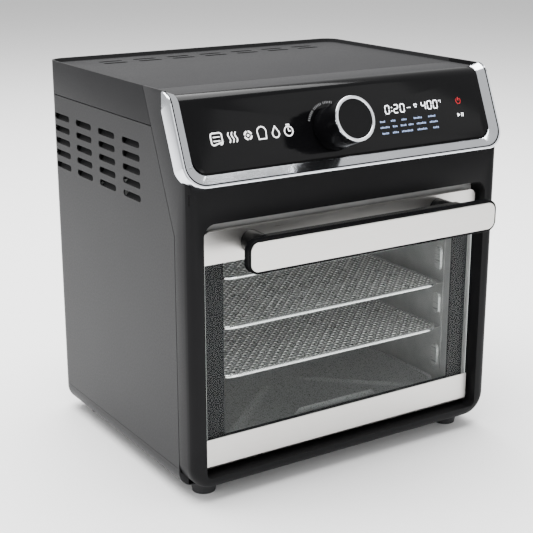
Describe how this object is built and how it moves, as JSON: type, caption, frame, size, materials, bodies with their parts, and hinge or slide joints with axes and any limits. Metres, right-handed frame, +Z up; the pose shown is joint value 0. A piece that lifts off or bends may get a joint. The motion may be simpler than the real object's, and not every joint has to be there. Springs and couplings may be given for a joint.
{
  "type": "toaster oven",
  "caption": "Counter-top air-fry toaster oven: dark casing, slanted panel with one knob and a display, drop-down glass door with a bar handle, mesh racks and drip tray inside.",
  "frame": {"origin": "on the counter under the middle of the overall box, at the level of the feet", "axes": "+Z up, +X to the cook's right, -Y towards the cook (door side), +Y to the back"},
  "size_m": [0.325, 0.3076, 0.3433],
  "materials": {
    "painted_casing": "satin powder-coated steel, dark graphite",
    "moulded_casing": "fine-grain moulded ABS, near black",
    "bright_trim": "satin chrome plated ABS",
    "gloss_panel": "high-gloss black fascia",
    "knob_face": "matte black",
    "stainless": "brushed stainless steel",
    "door_glass": "clear tempered glass",
    "lens_glass": "pressed borosilicate glass",
    "black_steel": "black enamelled steel",
    "chamber_steel": "aluminised steel",
    "zinc_steel": "zinc-plated steel",
    "chrome_wire": "bright chromed wire",
    "wire_mesh": "stainless wire mesh",
    "element_tube": "heat-darkened steel sheath",
    "fan_sheet": "pressed aluminium",
    "silicone": "black silicone rubber",
    "mineral_wool": "pale glass-fibre felt",
    "circuit_board": "green glass-epoxy board with components",
    "switch_plastic": "black nylon"
  },
  "bodies": {
    "housing": {"base_pan": "painted_casing", "board_tray": "moulded_casing", "case_screws": "zinc_steel", "cavity_back_wall": "chamber_steel", "cavity_lamp": "lens_glass", "cavity_liner": "chamber_steel", "control_board": "circuit_board", "control_panel": "gloss_panel", "cord_gland": "moulded_casing", "display_module": "switch_plastic", "door_switch": "switch_plastic", "element_clips": "zinc_steel", "encoder_base": "switch_plastic", "fan_duct": "chamber_steel", "fan_guard": "chamber_steel", "fan_motor": "zinc_steel", "feet": "silicone", "front_frame": "moulded_casing", "heating_element": "element_tube", "insulation_blanket": "mineral_wool", "lamp_lens": "lens_glass", "left_hinge_bracket": "zinc_steel", "left_rack_rails": "chamber_steel", "left_side_panel": "painted_casing", "motor_bracket": "zinc_steel", "panel_trim": "bright_trim", "power_board": "circuit_board", "rear_panel": "painted_casing", "rear_spacers": "moulded_casing", "right_hinge_bracket": "zinc_steel", "right_rack_rails": "chamber_steel", "right_side_panel": "painted_casing", "temperature_probe": "element_tube", "thermal_cutout": "zinc_steel", "top_cover": "moulded_casing"},
    "door": {"door_glass": "door_glass", "door_lower_strip": "stainless", "door_upper_strip": "stainless", "door_inner_frame": "black_steel", "door_seal": "silicone", "hinge_pins": "zinc_steel", "handle_grip": "gloss_panel", "handle_plate": "stainless", "handle_screws": "zinc_steel"},
    "dial_shaft": {"encoder_shaft": "zinc_steel"},
    "knob": {"knob_shell": "gloss_panel", "knob_ring": "bright_trim", "knob_cap": "knob_face"},
    "fan": {"motor_shaft": "zinc_steel", "convection_fan": "fan_sheet", "cooling_fan": "fan_sheet"},
    "lower_rack": {"lower_rack_frame": "chrome_wire", "lower_rack_mesh": "wire_mesh"},
    "middle_rack": {"middle_rack_frame": "chrome_wire", "middle_rack_mesh": "wire_mesh"},
    "upper_rack": {"upper_rack_frame": "chrome_wire", "upper_rack_mesh": "wire_mesh"},
    "drip_tray": {"drip_tray": "chamber_steel"},
    "switch_plunger": {"switch_plunger": "switch_plastic"}
  },
  "joints": [
    {"name": "door_hinge", "type": "hinge", "parent": "housing", "child": "door", "pos_m": [0, -0.1015, 0.031], "axis": [1, 0, 0], "range_deg": [0, 82], "stiffness_Nm_per_rad": 0.5, "springref_deg": -25.78},
    {"name": "knob_turn", "type": "hinge", "parent": "housing", "child": "dial_shaft", "pos_m": [-0.016, -0.10534, 0.303], "axis": [0, 0.9205, -0.3907], "continuous": true},
    {"name": "knob_press", "type": "slide", "parent": "dial_shaft", "child": "knob", "axis": [0, 0.9205, -0.3907], "range_m": [0, 0.001], "stiffness_N_per_m": 600, "springref_m": -0.001},
    {"name": "fan_spin", "type": "hinge", "parent": "housing", "child": "fan", "pos_m": [0, 0.01, 0.25], "axis": [0, 0, 1], "continuous": true},
    {"name": "lower_rack_slide", "type": "slide", "parent": "housing", "child": "lower_rack", "axis": [0, -1, 0], "range_m": [0, 0.086]},
    {"name": "middle_rack_slide", "type": "slide", "parent": "housing", "child": "middle_rack", "axis": [0, -1, 0], "range_m": [0, 0.1432]},
    {"name": "upper_rack_slide", "type": "slide", "parent": "housing", "child": "upper_rack", "axis": [0, -1, 0], "range_m": [0, 0.1747]},
    {"name": "drip_tray_slide", "type": "slide", "parent": "housing", "child": "drip_tray", "axis": [0, -1, 0], "range_m": [0, 0.018]},
    {"name": "switch_plunger_slide", "type": "slide", "parent": "housing", "child": "switch_plunger", "axis": [0, -1, 0], "range_m": [0, 0.002]}
  ],
  "couplings": [
    {"joint": "lower_rack_slide", "follows": "door_hinge", "m_per_rad": 0.06},
    {"joint": "middle_rack_slide", "follows": "door_hinge", "m_per_rad": 0.1},
    {"joint": "upper_rack_slide", "follows": "door_hinge", "m_per_rad": 0.122},
    {"joint": "drip_tray_slide", "follows": "door_hinge", "m_per_rad": 0.0125},
    {"joint": "switch_plunger_slide", "follows": "door_hinge", "m_per_rad": 0.0013}
  ]
}
